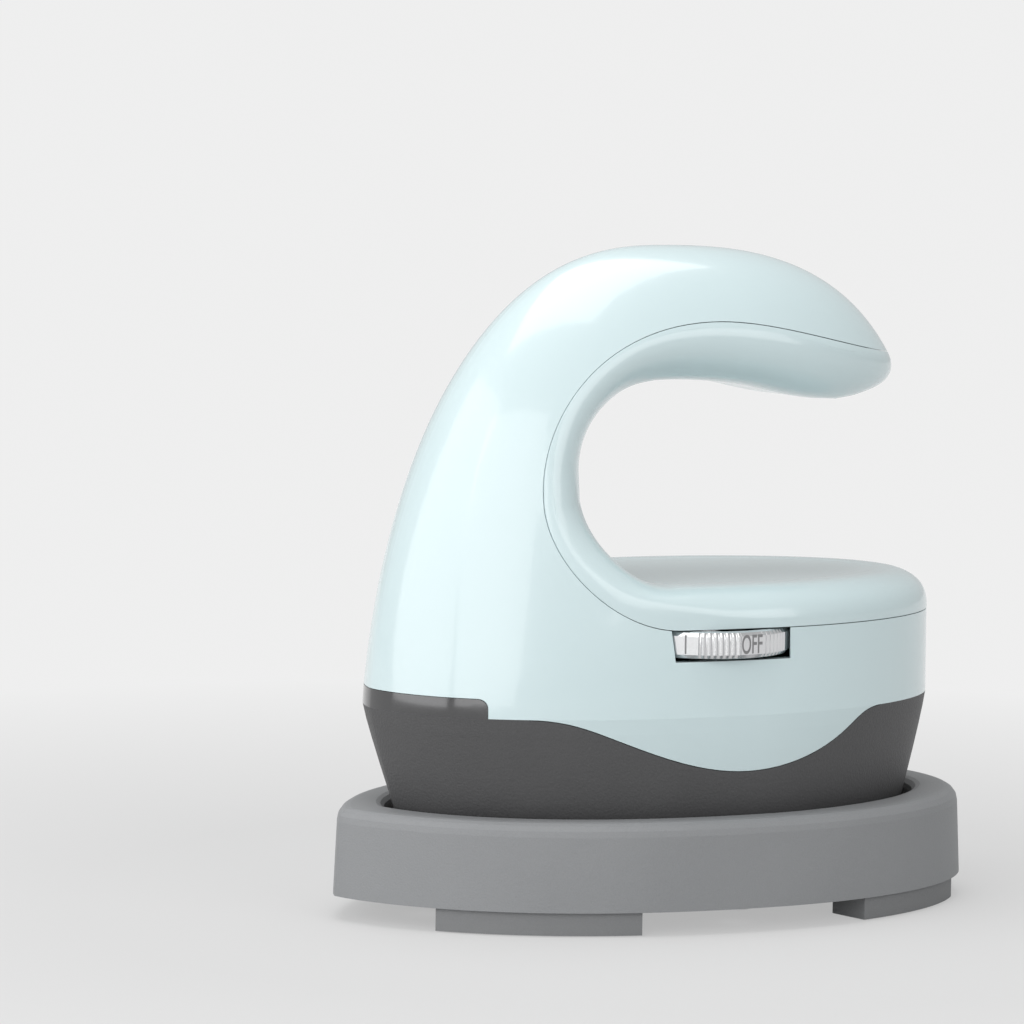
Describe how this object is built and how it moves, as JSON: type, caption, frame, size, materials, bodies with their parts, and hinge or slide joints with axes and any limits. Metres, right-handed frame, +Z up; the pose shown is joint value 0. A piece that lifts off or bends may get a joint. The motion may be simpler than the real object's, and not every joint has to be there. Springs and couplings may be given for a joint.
{
  "type": "mini heat press with stand",
  "caption": "Small handheld heat press with a C-shaped grip, thumb wheel for the heat setting and a pointed plate, resting on a shallow stand.",
  "frame": {"origin": "centre of the bounding box in plan, at the underside of the stand's feet", "axes": "+Z up, -X towards the pointed tip, +X towards the cord inlet, -Y towards the side where the thumb wheel reaches out"},
  "size_m": [0.1284, 0.0804, 0.1241],
  "materials": {
    "shell_gloss": "high gloss",
    "lens_smoke": "smoked, high gloss",
    "skirt_dark": "fine texture",
    "stand_grey": "fine texture",
    "foot_rubber": "matte",
    "pad_silicone": "matte",
    "plate_coating": "ceramic coating, warm cream",
    "heater_steel": "satin",
    "screw_steel": "satin",
    "wheel_chrome": "satin chrome",
    "ceramic_white": "ceramic, unglazed",
    "mica_sheet": "mica, satin",
    "board_green": "solder mask",
    "part_black": "satin",
    "relay_blue": "satin",
    "terminal_green": "satin",
    "capacitor_sleeve": "shrink sleeve",
    "sensor_glass": "amber glass bead",
    "clear_guide": "clear, frosted",
    "lamp_white": "clear epoxy",
    "gland_rubber": "matte"
  },
  "bodies": {
    "press": {"outer_shell": "shell_gloss", "inner_cover": "shell_gloss", "indicator_lens": "lens_smoke", "heat_skirt": "skirt_dark", "cord_gland": "gland_rubber", "cord_clamp": "skirt_dark", "shell_screws": "screw_steel", "heating_plate": "plate_coating", "heating_element": "heater_steel", "thermostat": "heater_steel", "thermal_fuse": "heater_steel", "temperature_sensor": "sensor_glass", "sensor_clip": "screw_steel", "heat_shield": "mica_sheet", "plate_spacer_1": "ceramic_white", "plate_spacer_2": "ceramic_white", "plate_spacer_3": "ceramic_white", "plate_spacer_4": "ceramic_white", "plate_screws": "screw_steel", "control_board": "board_green", "board_screws": "screw_steel", "relay": "relay_blue", "power_module": "part_black", "supply_capacitor": "capacitor_sleeve", "microcontroller": "part_black", "buzzer": "part_black", "tilt_sensor": "part_black", "terminal_block": "terminal_green", "led_board": "board_green", "indicator_leds": "lamp_white", "light_guide": "clear_guide", "rotary_switch": "part_black"},
    "wheel": {"thumb_wheel": "wheel_chrome", "wheel_shaft": "screw_steel"},
    "stand": {"stand_shell": "stand_grey", "stand_base": "stand_grey", "stand_screws": "screw_steel", "stand_foot_front_left": "foot_rubber", "stand_foot_front_right": "foot_rubber", "stand_foot_rear_left": "foot_rubber", "stand_foot_rear_right": "foot_rubber", "rest_pad_front": "pad_silicone", "rest_pad_rear": "pad_silicone", "rest_pad_left": "pad_silicone", "rest_pad_right": "pad_silicone"}
  },
  "joints": [
    {"name": "press_lift", "type": "slide", "parent": "stand", "child": "press", "axis": [0, 0, 1], "range_m": [0, 0.06]},
    {"name": "wheel_turn", "type": "hinge", "parent": "press", "child": "wheel", "pos_m": [0.00075, -0.0204, 0.0523], "axis": [0, 0, 1], "range_deg": [0, 135]}
  ]
}
